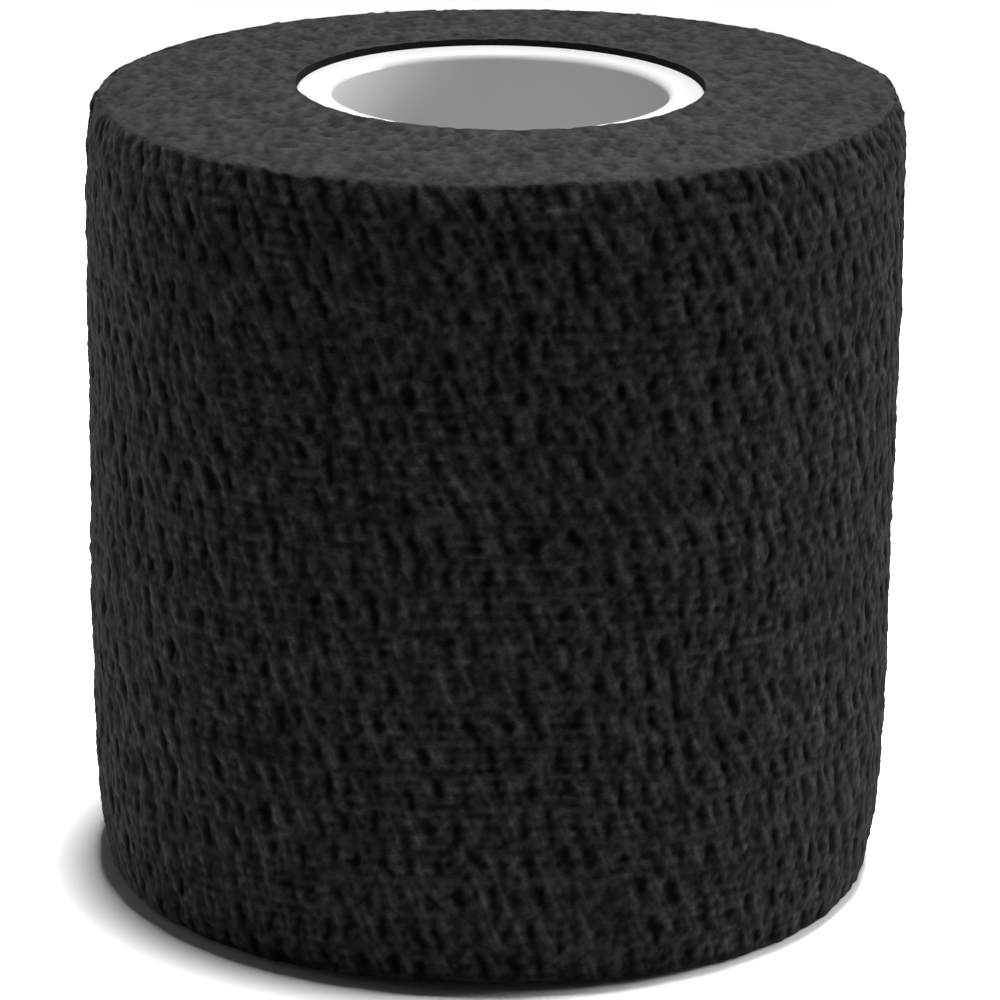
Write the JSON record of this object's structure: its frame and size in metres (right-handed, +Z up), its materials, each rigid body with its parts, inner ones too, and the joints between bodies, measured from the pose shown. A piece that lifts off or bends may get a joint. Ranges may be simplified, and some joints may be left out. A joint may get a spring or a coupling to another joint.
{
  "type": "grip tape roll",
  "caption": "Roll of black self-adherent crepe grip tape wound on a white tubular plastic core, with a free end that peels back on the outer turn.",
  "frame": {"origin": "centre of the lower end, on the core's axis, where the roll stands", "axes": "+Z up along the core's axis; the cut edge of the free end lies on the +Y side, and its root on the -X side"},
  "size_m": [0.0505, 0.0504, 0.05],
  "materials": {
    "core_plastic": "white plastic, lightly polished rim, plain bore",
    "crepe_tape": "black crinkled nonwoven with elastic yarns, self-adherent, no shine"
  },
  "bodies": {
    "roll": {"core_tube": "core_plastic", "tape_winding": "crepe_tape"},
    "free_end_root": {"free_end_root": "crepe_tape"},
    "free_end_middle": {"free_end_middle": "crepe_tape"},
    "free_end_tip": {"free_end_tip": "crepe_tape"}
  },
  "joints": [
    {"name": "peel_root", "type": "hinge", "parent": "roll", "child": "free_end_root", "pos_m": [-0.02549, -0.00004, 0], "axis": [0, 0, 1], "range_deg": [0, 45]},
    {"name": "peel_middle", "type": "hinge", "parent": "free_end_root", "child": "free_end_middle", "pos_m": [-0.02292, 0.01156, 0], "axis": [0, 0, 1], "range_deg": [0, 45]},
    {"name": "peel_tip", "type": "hinge", "parent": "free_end_middle", "child": "free_end_tip", "pos_m": [-0.01535, 0.02073, 0], "axis": [0, 0, 1], "range_deg": [0, 45]}
  ]
}
